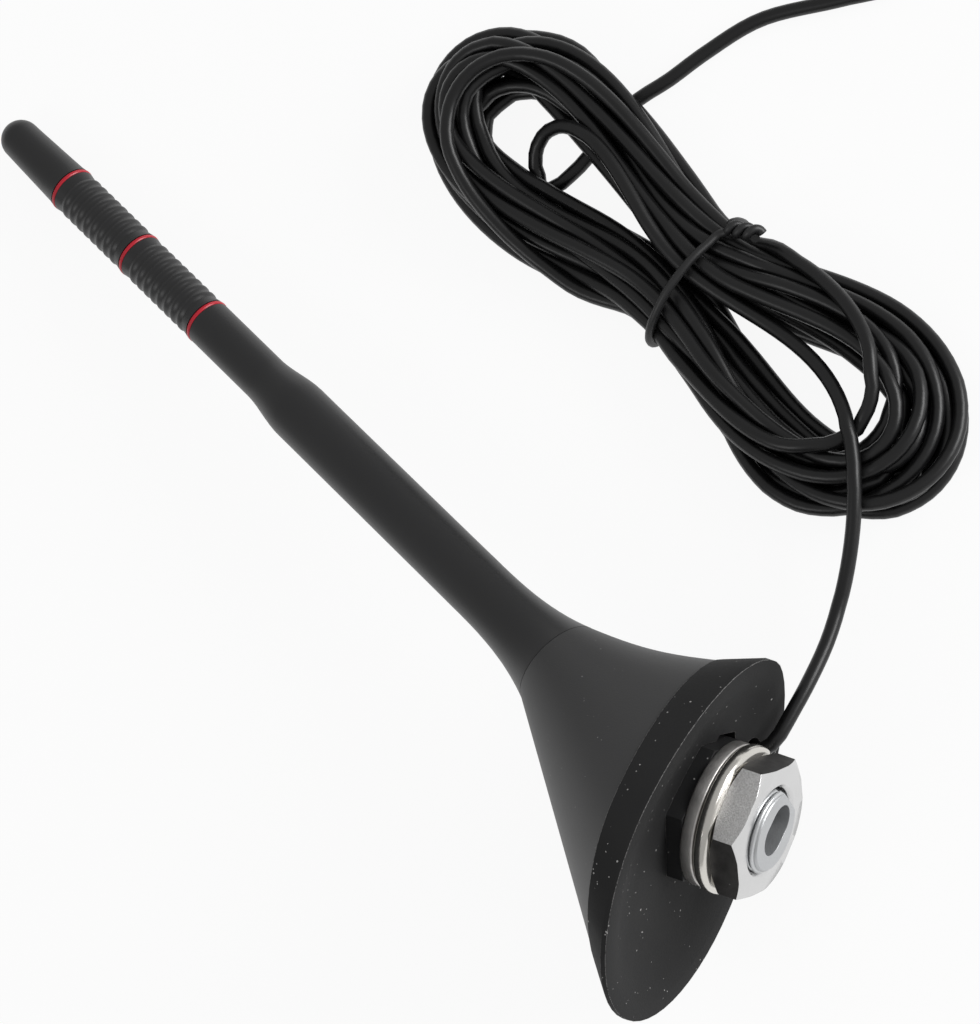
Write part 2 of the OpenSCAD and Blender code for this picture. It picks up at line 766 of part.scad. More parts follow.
// The wound hank as one closed solid: two round lobes that meet at the tied waist
module lead_hank() {
    color("#19191a") difference() {
        linear_extrude(height = hank_h)
            for (end = hank_ends)
                hull()
                    for (c = [end, hank_waist])
                        translate([c[0], c[1]])
                            circle(r = c[2], $fn = fn_small);
        tie_band(fit_gap, 2);
    }
}
// The tie: a band about the waist, and its two ends twisted together
module twist_tie() {
    color("#161617") {
        tie_band(0, 0);
        translate([hank_waist[0] + tie_w / 2, hank_waist[1] - tie_half, hank_h + tie_tail_d / 2 + fit_gap])
            rotate([0, -90, 6])
                cylinder(d = tie_tail_d, h = tie_tail, $fn = fn_small);
    }
}
module tie_band(grow, over) {
    a = tie_half + grow;
    b = tie_half - tie_t - grow;
    translate([hank_waist[0] - tie_w / 2 - grow, hank_waist[1], 0])
        rotate([90, 0, 90])
            linear_extrude(height = tie_w + 2 * grow)
                difference() {
                    translate([-a - over, -over])
                        square([2 * (a + over), tie_h + 2 * over]);
                    translate([0, tie_t + grow])
                        polygon(bar(-b, b, tie_h - 2 * tie_t - 2 * grow, 3));
                }
}

// Plug: a metal barrel with an insulated pin, and a tapered boot over the lead
module at_plug(z) {
    translate(plug_at)
        rotate([0, 0, plug_turn])
            rotate([0, 90, 0])
                translate([0, 0, z])
                    children();
}
module plug_boot() {
    r = barrel_d / 2 - 0.3;
    color("#1a1a1b") at_plug(0)
        rotate_extrude($fn = fn_fine)
            polygon([[0, 0], [lead_r + 0.6, 0], [lead_r + 0.9, 0.3], [r - 1, boot_len * 0.6],
                     [r, boot_len - 4], [r, boot_len], [0, boot_len]]);
}
module plug_barrel() {
    r = barrel_d / 2;
    pocket = insulator_len + insulator_sunk;
    color("#b9babc") at_plug(boot_len)
        difference() {
            rotate_extrude($fn = fn_fine)
                polygon([[0, 0], [r - 0.3, 0], [r, 0.3], [r, collar_len], [r - 0.4, collar_len + 0.4],
                         [r - 0.4, collar_len + 1.4], [r, collar_len + 1.8], [r, barrel_len - 0.6],
                         [r - 0.6, barrel_len], [0, barrel_len]]);
            translate([0, 0, barrel_len - pocket])
                cylinder(r = r - barrel_wall, h = pocket + 1, $fn = fn_fine);
        }
}
module plug_insulator() {
    color("#e8e6df") at_plug(boot_len + barrel_len - insulator_sunk - insulator_len)
        difference() {
            cylinder(r = barrel_d / 2 - barrel_wall - fit_gap, h = insulator_len, $fn = fn_fine);
            translate([0, 0, -1])
                cylinder(r = pin_d / 2 + fit_gap, h = insulator_len + 2, $fn = fn_fine);
        }
}
module plug_pin() {
    r = pin_d / 2;
    h = insulator_len + insulator_sunk + pin_len;
    color("#c9c9c6") at_plug(boot_len + barrel_len - insulator_sunk - insulator_len + fit_gap)
        rotate_extrude($fn = fn_fine)
            polygon(concat(
                [[0, 0], [r, 0]],
                [for (t = [0 : 15 : 90]) [r * cos(t), h - r + r * sin(t)]]
            ));
}

gasket();
locating_block();
base_casting();
housing();
plate_screws();
grommet();
lead_entry();
cable_clamp();
clamp_screw();
mast_socket();
socket_bush();
contact_lug();
feed_wire();
mast_ferrule();
mast_sleeve();
ring_lower();
ring_middle();
ring_upper();
whip_rod();
whip_winding();
flat_washer();
spring_washer();
nut();
lead_run();
lead_hank();
lead_tail();
twist_tie();
plug_boot();
plug_barrel();
plug_insulator();
plug_pin();
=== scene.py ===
# Roof antenna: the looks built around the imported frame. Metres throughout, in the frame's own axes.
import math

import bmesh
import bpy
import numpy as np
from mathutils import Matrix, Vector


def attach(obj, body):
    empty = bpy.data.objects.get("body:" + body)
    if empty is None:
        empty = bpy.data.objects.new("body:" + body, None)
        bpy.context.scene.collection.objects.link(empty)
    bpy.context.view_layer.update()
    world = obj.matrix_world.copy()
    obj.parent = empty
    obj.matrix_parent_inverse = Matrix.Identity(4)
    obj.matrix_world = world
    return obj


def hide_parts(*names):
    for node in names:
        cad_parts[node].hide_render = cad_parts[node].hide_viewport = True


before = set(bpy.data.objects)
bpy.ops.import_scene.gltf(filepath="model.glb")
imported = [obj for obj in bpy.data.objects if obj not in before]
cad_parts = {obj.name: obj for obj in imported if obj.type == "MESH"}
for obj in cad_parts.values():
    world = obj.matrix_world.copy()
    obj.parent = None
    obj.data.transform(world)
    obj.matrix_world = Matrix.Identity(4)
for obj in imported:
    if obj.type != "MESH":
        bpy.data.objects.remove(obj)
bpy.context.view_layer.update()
mm = 0.001
scene = bpy.context.scene

# The camera that the photograph was taken with, fitted to it

photoCamera = dict(
    place=(-0.5456989, -0.1681364, 1.1758385),
    right=(-0.66533661, -0.64024495, -0.3839448),
    up=(0.62509821, -0.75894755, 0.18234813),
    back=(-0.40814144, -0.11868032, 0.90517156),
    focalPixels=6926.4,
    framePixels=980,
    sensor=36.0,
    clip=(0.05, 20),
)


def makeCamera(c):
    data = bpy.data.cameras.new("photoCamera")
    data.sensor_fit = "HORIZONTAL"
    data.sensor_width = c["sensor"]
    data.lens = c["focalPixels"] * c["sensor"] / c["framePixels"]
    data.clip_start, data.clip_end = c["clip"]
    camera = bpy.data.objects.new("photoCamera", data)
    scene.collection.objects.link(camera)
    turn = Matrix((c["right"], c["up"], c["back"])).transposed().to_4x4()
    camera.matrix_world = Matrix.Translation(c["place"]) @ turn
    scene.camera = camera


makeCamera(photoCamera)
print("camera placed")

# The lead: every turn is laid out, then all of it is settled so that no strand lies in another.
# Millimetres here, as on a drawing

lead = dict(
    diameter=2.8, step=2.4, turns=14, rounds=360, contact=2.92, seed=3, swaps=6,
    lanePitch=2.95, laneHeight=2.5, lanesByLayer=(4, 4, 3, 3), firstHeight=1.45,
    tieX=-17.6, tieY=-72.3, tieHalf=11.3, tieTop=10.9, tieUnder=1.75, tightestChord=8.6,
    fall=0.012, sides=14, declaredLength=4.05,
    leftEnds=(24, 41, 48, 44.5, 50.5, 39, 46.5, 43, 49.5, 41.5, 47.5, 45, 51, 42),
    rightEnds=(-72, -80, -76, -82, -78.5, -74, -81, -70.5, -77, -82.5, -73, -79.5, -66.5, -76),
    bulgingTurn=4, bulge=3.4, looseTurn=12, loose=2.6,
    shortLeft=44, shortRight=-75, shortRise=1.5,        # short turns ride over the others at the ends
    endShape=((.52, -.87), (.13, -.5), (0, 0), (.13, .5), (.52, .87)),      # inward, across, in half widths
)
settling = dict(
    relistEvery=8, nearBy=1.6, stepsApart=5,        # which strands are looked at as neighbours
    pullHome=(0.02, 0.02, 0.004), easeOff=0.7,      # how strongly the drawn route is kept, and how that fades
    stiffness=((1, .045), (2, .03), (4, .02)), chordSteps=4, chordGive=.12,
    pushes=3, pushShare=.75, stretchShare=.9, floorSink=0.04,
    tieOffset=1.9, liftReach=6, tieReach=5, tieCrown=0.034,
    tailSteps=200, headSteps=400, runHold=0.12, tailHold=0.3, tailHoldSteps=12,
)
runPoints = [
    (-90.52, -13.92, 13.0), (-92.2, -16.2, 13.6), (-93.9, -18.9, 13.6), (-94.1, -21.6, 13.4),
    (-93.0, -26.0, 12.8), (-91.0, -32.5, 11.5), (-87.6, -40.2, 9.0), (-83.7, -47.6, 8.2),
    (-79.8, -54.6, 10.8), (-76.2, -60.4, 13.4), (-72.2, -66.4, 13.4), (-66.4, -71.7, 11.6),
    (-59.6, -74.9, 9.6),
    (-50.9, -76.4, 8.8), (-38.8, -76.4, 9.4), (-28.5, -74.4, 10.2), (-18, -73.4, 10.6),
]
innerLoop = [
    (-8, -76.4, 10.8), (3, -79.8, 10.8), (12, -81.2, 10.4), (19.5, -79.8, 9.6),
    (24.2, -75.4, 8.2), (24.6, -70.2, 6.2), (20.6, -65.8, 4.4), (11, -64.0, 2.6),
]
lastTurn = [
    (-30, -79.4, 6.0), (-18, -77.2, 5.5), (-6, -79.2, 4), (10, -82.4, 3.0), (24, -83.4, 2.4),
    (34, -81.0, 2.0), (40.5, -75.0, 1.8), (41.5, -67.5, 1.6), (37.0, -61.2, 1.5),
    (29.5, -58.6, 1.4), (22.0, -59.6, 1.4), (17.4, -64.6, 1.4),
]
tailPoints = [
    (15.9, -70.5, 1.4), (15.6, -77, 1.4), (15.6, -88.9, 1.4), (13, -97, 1.4),
    (10.9, -105, 1.4), (6.6, -116.6, 1.4), (-3.4, -129.2, 1.4), (-10, -138, 1.4),
    (-11, -148, 1.4), (-4.5, -155.5, 1.8), (4.5, -157, 3.4),
]
plug = dict(back=(12, -152.4, 4.72), turn=37.0, approach=(4.0, 2.0, 0.05))


def evenlySpaced(path, step):
    along = np.r_[0, np.cumsum(np.linalg.norm(np.diff(path, axis=0), axis=1))]
    wanted = np.linspace(0, along[-1], max(2, int(round(along[-1] / step))) + 1)
    return np.stack([np.interp(wanted, along, path[:, k]) for k in range(3)], 1)


def smoothRoute(points, step):
    # centripetal curve, so that it doesn't swing wide between uneven points
    p = np.array(points, float)
    q = np.vstack([2 * p[0] - p[1], p, 2 * p[-1] - p[-2]])
    made = []
    t = np.arange(0, 1, 0.05)[:, None]
    for a, b, c, d in zip(q[:-3], q[1:-2], q[2:-1], q[3:]):
        ta, tb, tc = (max(1e-6, np.linalg.norm(x)) ** 0.5 for x in (b - a, c - b, d - c))
        leave = ((b - a) / ta - (c - a) / (ta + tb) + (c - b) / tb) * tb
        arrive = ((c - b) / tb - (d - b) / (tb + tc) + (d - c) / tc) * tb
        made.append((2 * t**3 - 3 * t**2 + 1) * b + (t**3 - 2 * t**2 + t) * leave
                    + (3 * t**2 - 2 * t**3) * c + (t**3 - t**2) * arrive)
    return evenlySpaced(np.vstack(made + [p[-1:]]), step)


def laneOrders(s):
    # which lane each turn lies in, in the four stretches of a turn; neighbours trade here and there.
    # seeded, so the hank is the same on every run
    rng = np.random.default_rng(s["seed"])
    orders = []
    for stretch in range(4):
        order = list(range(s["turns"]))
        for swap in range(s["swaps"]):
            i = int(rng.integers(0, s["turns"] - 2))
            j = i + int(rng.integers(1, 3))
            order[i], order[j] = order[j], order[i]
        orders.append(order)
    return orders


def roundTheEnd(s, reach, height, side, fromY, toY):
    half, way = abs(toY - fromY) / 2, 1 if toY > fromY else -1
    middle = (fromY + toY) / 2
    return [(reach - side * half * inward, middle + way * half * across, height)
            for inward, across in s["endShape"]]


def oneTurn(s, lanes, orders, k):
    # round the hank once: stations along it, with its outline there as the middle of the lanes
    (o1, z1), (o2, z2), (o3, z3), (o4, z4) = (lanes[order[k]] for order in orders)
    left, right, tieY = s["leftEnds"][k], s["rightEnds"][k], s["tieY"]
    zLeft = (z1 + z2) / 2 + (s["shortRise"] if left < s["shortLeft"] else 0)
    zRight = (z3 + z4) / 2 + (s["shortRise"] if right > s["shortRight"] else 0)
    bulge = s["bulge"] if k == s["bulgingTurn"] else 0
    loose = s["loose"] if k == s["looseTurn"] else 0
    points = []
    if k:
        points += [(s["tieX"], tieY - 6.2 - o1 * .9, (z4 + z1) / 2), (-6, -79.6 - o1 * .9, z1),
                   (9, -82.6 - o1, z1), (24, -84.2 - o1 - loose, z1)]
        points += roundTheEnd(s, left, zLeft, 1, -82.6 - (o1 + loose) * .8, -61.6 + o2 * .8)
        points += [(24, -60.2 + o2, z2), (9, -61.4 + o2 + bulge, z2)]
    points += [(-6, -64.6 + o2 * .9 + bulge * .8, z2), (s["tieX"], tieY + 6.2 + o2 * .9, (z2 + z3) / 2),
               (-31, -63.4 + o3 * .9, z3), (-46, -60.2 + o3, z3), (-60, -60.6 + o3, z3)]
    points += roundTheEnd(s, right, zRight, -1, -62.6 + o3 * .8, -87 - o4 * .8)
    if k < s["turns"] - 1:
        return points + [(-60, -88.6 - o4, z4), (-46, -86.2 - o4, z4), (-31, -81.8 - o4 * .9, z4)]
    return points + [(-60, -88.6, 6), (-46, -84.2, 6.5)]


def lateral(p, stride, much):
    # stiffness: evens out the change of bend over this stride
    bend, change = np.zeros_like(p), np.zeros_like(p)
    bend[stride:-stride] = p[:-2 * stride] - 2 * p[stride:-stride] + p[2 * stride:]
    change[2 * stride:-2 * stride] = (bend[stride:-3 * stride] - 2 * bend[2 * stride:-2 * stride]
                                      + bend[3 * stride:-stride])
    return change * much


def settleLead(s, w, p, free):
    home = p.copy()
    rest = np.linalg.norm(np.diff(p, axis=0), axis=1)
    for round_ in range(s["rounds"]):
        if round_ % w["relistEvery"] == 0:     # the strands near each other are listed anew
            squares = (p ** 2).sum(1)
            near = squares[:, None] + squares[None, :] - 2 * p @ p.T < (s["contact"] + w["nearBy"]) ** 2
            a, b = np.nonzero(np.triu(near, w["stepsApart"]))
        early = 1 - w["easeOff"] * round_ / s["rounds"]
        p[:, 2] -= s["fall"] * free
        p += (home - p) * (np.array(w["pullHome"]) * early) * free[:, None]
        for stride, much in w["stiffness"]:
            p -= lateral(p, stride, much) * free[:, None]
        c = w["chordSteps"]
        chord = p[c:] - p[:-c]
        size = np.linalg.norm(chord, axis=1) + 1e-9
        give = chord / size[:, None] * (np.maximum(0, s["tightestChord"] - size) * w["chordGive"])[:, None]
        p[c:] += give * free[c:, None]
        p[:-c] -= give * free[:-c, None]
        for again in range(w["pushes"]):
            gap = p[b] - p[a]
            size = np.linalg.norm(gap, axis=1) + 1e-9
            hit = size < s["contact"]
            i, j = a[hit], b[hit]
            push = gap[hit] * ((s["contact"] - size[hit]) / size[hit] / (free[i] + free[j] + 1e-9))[:, None]
            move, count = np.zeros_like(p), np.zeros(len(p))
            np.add.at(move, i, -push * free[i][:, None])
            np.add.at(move, j, push * free[j][:, None])
            np.add.at(count, i, 1)
            np.add.at(count, j, 1)
            p += move / np.maximum(1, count * w["pushShare"])[:, None]
        overTie = np.exp(-((p[:, 0] - s["tieX"] + w["tieOffset"]) / w["liftReach"]) ** 2)
        lowest = s["diameter"] / 2 - w["floorSink"] + s["tieUnder"] * overTie
        p[:, 2] = np.maximum(p[:, 2], np.where(free > 0, lowest, -99))
        for start in (0, 1):    # every step keeps its length
            i = np.arange(start, len(p) - 1, 2)
            j = i + 1
            part = p[j] - p[i]
            size, both = np.linalg.norm(part, axis=1), free[i] + free[j]
            both[both == 0] = 1
            fix = part * ((size - rest[i]) / size / both * w["stretchShare"])[:, None]
            p[i] += fix * free[i][:, None]
            p[j] -= fix * free[j][:, None]
        tied = np.exp(-((p[:, 0] - s["tieX"]) / w["tieReach"]) ** 2) * (free > 0)
        across = p[:, 1] - s["tieY"]
        p[:, 1] += tied * (np.clip(across, -s["tieHalf"], s["tieHalf"]) - across)
        p[:, 2] += tied * np.minimum(0, s["tieTop"] - w["tieCrown"] * across ** 2 - p[:, 2])
    return p


def nearestIndex(p, point):
    return int(np.argmin(np.linalg.norm(p - np.array(point), axis=1)))


def layLead(s, w):
    lanes = [((c - (count - 1) / 2) * s["lanePitch"], s["firstHeight"] + s["laneHeight"] * row)
             for row, count in enumerate(s["lanesByLayer"]) for c in range(count)]
    orders = laneOrders(s)
    points = list(runPoints) + list(innerLoop)
    for k in range(s["turns"]):
        points += oneTurn(s, lanes, orders, k)
    ahead = np.array([math.cos(math.radians(plug["turn"])), math.sin(math.radians(plug["turn"])), 0])
    intoPlug = [tuple(np.array(plug["back"]) - d * ahead) for d in plug["approach"]]
    p = smoothRoute(points + lastTurn + tailPoints + intoPlug, s["step"])
    free = np.ones(len(p))
    held = nearestIndex(p, runPoints[7])
    free[:held] = 0
    free[held:nearestIndex(p[:w["headSteps"]], runPoints[-1])] = w["runHold"]
    leaves = len(p) - w["tailSteps"] + nearestIndex(p[-w["tailSteps"]:], tailPoints[1])
    free[leaves:] = 0
    free[leaves - w["tailHoldSteps"]:leaves] = w["tailHold"]
    return settleLead(s, w, p, free)


def tubeAlong(name, path, radius, sides):
    # a round tube with its own UV map: round it, and along it in metres
    ahead = np.gradient(path, axis=0)
    ahead /= np.linalg.norm(ahead, axis=1)[:, None]
    side = np.cross(ahead[0], (0.3, 0.2, 1.0))
    rings = []
    for point, way in zip(path, ahead):
        side = side - way * (side @ way)
        side /= np.linalg.norm(side)
        other = np.cross(way, side)
        angles = np.arange(sides) * 2 * math.pi / sides
        rings.append(point + radius * (np.cos(angles)[:, None] * side + np.sin(angles)[:, None] * other))
    n = len(path)
    verts = np.vstack(rings)
    faces, marks = [], []
    along = np.r_[0, np.cumsum(np.linalg.norm(np.diff(path, axis=0), axis=1))]
    for i in range(n - 1):
        for j in range(sides):
            k = (j + 1) % sides
            faces.append((i * sides + j, i * sides + k, (i + 1) * sides + k, (i + 1) * sides + j))
            u, v = j / sides, (j + 1) / sides
            marks += [(u, along[i]), (v, along[i]), (v, along[i + 1]), (u, along[i + 1])]
    faces.append(tuple(range(sides - 1, -1, -1)))
    faces.append(tuple((n - 1) * sides + j for j in range(sides)))
    marks += [(j / sides, 0) for j in range(sides)] + [(j / sides, along[-1]) for j in range(sides)]
    mesh = bpy.data.meshes.new(name)
    mesh.from_pydata(verts.tolist(), [], faces)
    layer = mesh.uv_layers.new(name="along")
    layer.data.foreach_set("uv", np.array(marks, np.float32).ravel())
    mesh.polygons.foreach_set("use_smooth", [len(f) == 4 for f in faces])
    mesh.update()
    made = bpy.data.objects.new(name, mesh)
    scene.collection.objects.link(made)
    return made


leadPath = layLead(lead, settling) * mm
leadCord = tubeAlong("leadCord", leadPath, lead["diameter"] / 2 * mm, lead["sides"])
laidLength = float(np.linalg.norm(np.diff(leadPath, axis=0), axis=1).sum())
print("lead laid:", len(leadPath), "points,", round(laidLength, 3), "m, declared", lead["declaredLength"])

# Shared effects, each built once as a node group


def newGroup(name, inputs, outputs):
    tree = bpy.data.node_groups.new(name, "ShaderNodeTree")
    for label, value in inputs.items():
        tree.interface.new_socket(label, in_out="INPUT", socket_type="NodeSocketFloat").default_value = value
    for label in outputs:
        tree.interface.new_socket(label, in_out="OUTPUT", socket_type="NodeSocketFloat")
    return tree, tree.nodes.new("NodeGroupInput"), tree.nodes.new("NodeGroupOutput")


def addNode(tree, kind, settings=None, **values):
    node = tree.nodes.new("ShaderNode" + kind)
    for key, value in (settings or {}).items():
        setattr(node, key, value)
    for key, value in values.items():
        socket = node.inputs[int(key[1:])] if key[0] == "i" and key[1:].isdigit() else node.inputs[key]
        if isinstance(value, bpy.types.NodeSocket):
            tree.links.new(value, socket)
        else:
            socket.default_value = value
    return node


def calc(tree, operation, a, b=0.0, c=0.0):
    return addNode(tree, "Math", {"operation": operation}, i0=a, i1=b, i2=c).outputs[0]


def objectPoint(tree, stretch=(1, 1, 1)):
    where = addNode(tree, "TexCoord").outputs["Object"]
    return addNode(tree, "Mapping", None, Vector=where, Scale=stretch).outputs[0]


def makeGrainGroup():
    # fine grain with a broader drift over it, for moulded and cast surfaces
    tree, given, made = newGroup("fineGrain", {"Size": 1500.0, "Drift": 60.0}, ["Grain", "Patches"])
    point = objectPoint(tree)
    fine = addNode(tree, "TexNoise", None, Vector=point, Scale=given.outputs["Size"],
                   Detail=3.0, Roughness=0.6)
    broad = addNode(tree, "TexNoise", None, Vector=point, Scale=given.outputs["Drift"], Detail=2.0)
    tree.links.new(fine.outputs["Fac"], made.inputs["Grain"])
    tree.links.new(broad.outputs["Fac"], made.inputs["Patches"])
    return tree


speckShape = dict(wanderSize=700.0, unevenness=1.6, pickSize=420.0, pickAbove=0.62)


def makeSpecksGroup(s):
    # small pale dust specks, few and of uneven size
    tree, given, made = newGroup("dustSpecks", {"Spacing": 850.0, "Amount": 0.12}, ["Mask"])
    point = objectPoint(tree)
    cells = addNode(tree, "TexVoronoi", None, Vector=point, Scale=given.outputs["Spacing"])
    wander = addNode(tree, "TexNoise", None, Vector=point, Scale=s["wanderSize"], Detail=1.0)
    uneven = calc(tree, "MULTIPLY", wander.outputs["Fac"], s["unevenness"])
    reach = calc(tree, "MULTIPLY", given.outputs["Amount"], uneven)
    mask = calc(tree, "LESS_THAN", cells.outputs["Distance"], reach)
    picked = addNode(tree, "TexNoise", None, Vector=point, Scale=s["pickSize"], Detail=0.0)
    kept = calc(tree, "GREATER_THAN", picked.outputs["Fac"], s["pickAbove"])
    tree.links.new(calc(tree, "MULTIPLY", mask, kept), made.inputs["Mask"])
    return tree


def makeScratchGroup():
    # fine lines round an axis or along a face, for turned and brushed metal
    tree, given, made = newGroup("turnedLines", {"Fineness": 3500.0}, ["Lines"])
    point = objectPoint(tree, stretch=(1.0, 1.0, 0.06))
    lines = addNode(tree, "TexNoise", None, Vector=point, Scale=given.outputs["Fineness"], Detail=2.0)
    tree.links.new(lines.outputs["Fac"], made.inputs["Lines"])
    return tree


grainGroup, specksGroup, linesGroup = makeGrainGroup(), makeSpecksGroup(speckShape), makeScratchGroup()
print("shared effects ready")


def placeGroup(tree, group, **values):
    node = tree.nodes.new("ShaderNodeGroup")
    node.node_tree = group
    for key, value in values.items():
        node.inputs[key].default_value = value
    return node


bumpHeight = 0.0001
edgeSamples = 6
edgeLinePatches = (3.0, -1.1)       # how the grain breaks up the lighter edge line, partly wear and partly painted highlight
linesInBump, grainInBump = 0.6, 0.4


def blendColors(tree, share, first, second):
    return addNode(tree, "Mix", {"data_type": "RGBA"}, i0=share, i6=first, i7=second).outputs[2]


def finishMaterial(name, color, rough=0.5, metal=0.0, grain=0.0, grainSize=1500.0, drift=0.0, driftSize=60.0,
                   specks=0.0, lines=0.0, lineSize=3500.0, dustWearAndHighlightColor=(0.34, 0.335, 0.33),
                   specular=0.5, spread=0.08, round=0.0, wornEdgeAndHighlight=0.0):
    material = bpy.data.materials.new(name)
    material.use_nodes = True
    tree = material.node_tree
    shader = tree.nodes["Principled BSDF"]
    shader.inputs["Metallic"].default_value = metal
    shader.inputs["Specular IOR Level"].default_value = specular
    grains = placeGroup(tree, grainGroup, Size=grainSize, Drift=driftSize)
    # colour drifts a little over the surface
    darker = tuple(x * (1 - drift) for x in color) + (1,)
    lighter = tuple(min(1, x * (1 + drift)) for x in color) + (1,)
    mixed = blendColors(tree, grains.outputs["Patches"], darker, lighter)
    if specks:
        dust = placeGroup(tree, specksGroup, Amount=specks)
        mixed = blendColors(tree, dust.outputs["Mask"], mixed, dustWearAndHighlightColor + (1,))
    roughness = calc(tree, "MULTIPLY_ADD", grains.outputs["Grain"], spread, rough - spread / 2)
    height = grains.outputs["Grain"]
    if lines:
        brushed = placeGroup(tree, linesGroup, Fineness=lineSize)
        roughness = calc(tree, "MULTIPLY_ADD", brushed.outputs["Lines"], lines, roughness)
        grainPart = calc(tree, "MULTIPLY", height, grainInBump)
        height = calc(tree, "MULTIPLY_ADD", brushed.outputs["Lines"], linesInBump, grainPart)
    tree.links.new(roughness, shader.inputs["Roughness"])
    bump = addNode(tree, "Bump", None, Strength=grain, Distance=bumpHeight, Height=height)
    if round:
        # catches the light along moulded and machined edges
        edges = addNode(tree, "Bevel", {"samples": edgeSamples}, Radius=round * mm).outputs[0]
        tree.links.new(edges, bump.inputs["Normal"])
        # lighter colour along the edges: partly edge wear, partly a painted highlight
        if wornEdgeAndHighlight:
            flat = addNode(tree, "NewGeometry").outputs["Normal"]
            facing = addNode(tree, "VectorMath", {"operation": "DOT_PRODUCT"}, i0=edges, i1=flat)
            turned = facing.outputs["Value"]
            rubbedAndLitEdge = calc(tree, "MULTIPLY", calc(tree, "SUBTRACT", 1.0, turned), wornEdgeAndHighlight)
            patchy = calc(tree, "MULTIPLY_ADD", grains.outputs["Grain"], *edgeLinePatches)
            share = addNode(tree, "Clamp", None, Value=calc(tree, "MULTIPLY", rubbedAndLitEdge, patchy)).outputs[0]
            mixed = blendColors(tree, share, mixed, dustWearAndHighlightColor + (1,))
    tree.links.new(mixed, shader.inputs["Base Color"])
    tree.links.new(bump.outputs[0], shader.inputs["Normal"])
    return material


finishes = dict(
    # the pad's edges are lightened in colour: partly wear, partly a painted highlight
    padRubber=dict(color=(0.0165, 0.0165, 0.0168), rough=0.66, grain=0.35, grainSize=2600, drift=0.2,
                   specks=0.17, specular=0.14, round=0.24, wornEdgeAndHighlight=6.0),
    blockNylon=dict(color=(0.0125, 0.0125, 0.013), rough=0.5, grain=0.3, drift=0.2, specks=0.15,
                    specular=0.3, round=0.2),
    zincCasting=dict(color=(0.50, 0.51, 0.52), rough=0.42, metal=0.8, grain=0.5, grainSize=1800,
                     drift=0.15, spread=0.2, round=0.2),
    studThread=dict(color=(0.58, 0.59, 0.60), rough=0.36, metal=0.9, grain=0.3, grainSize=1800, drift=0.1,
                    spread=0.15),
    softCone=dict(color=(0.020, 0.020, 0.0205), rough=0.50, grain=0.25, grainSize=3200, drift=0.08,
                  driftSize=40, specks=0.07),
    steelScrew=dict(color=(0.5, 0.5, 0.5), rough=0.3, metal=1.0, grain=0.2, drift=0.1, lines=0.15),
    grommetRubber=dict(color=(0.012, 0.012, 0.0125), rough=0.6, grain=0.3, drift=0.15),
    leadPvc=dict(color=(0.0045, 0.0045, 0.0048), rough=0.36, specular=0.4, grain=0.16, grainSize=900,
                 drift=0.2, driftSize=150, spread=0.1),
    clampSteel=dict(color=(0.55, 0.55, 0.56), rough=0.28, metal=1.0, grain=0.2, drift=0.1, lines=0.12),
    turnedBrass=dict(color=(0.62, 0.45, 0.2), rough=0.27, metal=1.0, grain=0.2, drift=0.12, lines=0.15),
    naturalBush=dict(color=(0.66, 0.62, 0.54), rough=0.45, grain=0.2, drift=0.06),
    tinnedLug=dict(color=(0.6, 0.6, 0.58), rough=0.35, metal=1.0, grain=0.3, drift=0.15),
    bareCopper=dict(color=(0.72, 0.36, 0.2), rough=0.3, metal=1.0, grain=0.2, drift=0.15),
    mastSleeve=dict(color=(0.0095, 0.0095, 0.010), rough=0.40, grain=0.12, grainSize=2200, drift=0.1,
                    spread=0.06),
    redRing=dict(color=(0.45, 0.006, 0.02), rough=0.35, grain=0.15, drift=0.12),
    glassRod=dict(color=(0.62, 0.58, 0.4), rough=0.4, grain=0.25, drift=0.1, lines=0.1),
    windingWire=dict(color=(0.5, 0.2, 0.1), rough=0.3, metal=1.0, grain=0.4, drift=0.15),
    darkWasher=dict(color=(0.52, 0.505, 0.49), rough=0.27, metal=1.0, grain=0.5, drift=0.4, driftSize=320,
                    lines=0.3, round=0.2),
    springNickel=dict(color=(0.66, 0.64, 0.60), rough=0.17, metal=1.0, grain=0.15, drift=0.12,
                      driftSize=200, lines=0.1),
    nutNickel=dict(color=(0.66, 0.66, 0.66), rough=0.25, metal=1.0, grain=0.15, drift=0.06, driftSize=180,
                   round=0.22),
    nutForged=dict(color=(0.74, 0.72, 0.70), rough=0.38, metal=1.0, grain=1.0, grainSize=3600, drift=0.5,
                   driftSize=3000, spread=0.5),
    # painted shade and reflection: a near-black copy of the nut's metal, for the flats that don't face up
    nutPaintedShade=dict(color=(0.060, 0.058, 0.057), rough=0.46, metal=1.0, grain=0.35, grainSize=900,
                   drift=0.45, driftSize=420, specks=0.1),
    tieCoating=dict(color=(0.009, 0.009, 0.0095), rough=0.45, grain=0.3, drift=0.15),
    barrelNickel=dict(color=(0.6, 0.6, 0.6), rough=0.2, metal=1.0, grain=0.2, drift=0.1, lines=0.12),
    whiteInsulator=dict(color=(0.74, 0.73, 0.69), rough=0.4, grain=0.15, drift=0.05),
)
looks = {name: finishMaterial(name, **values) for name, values in finishes.items()}

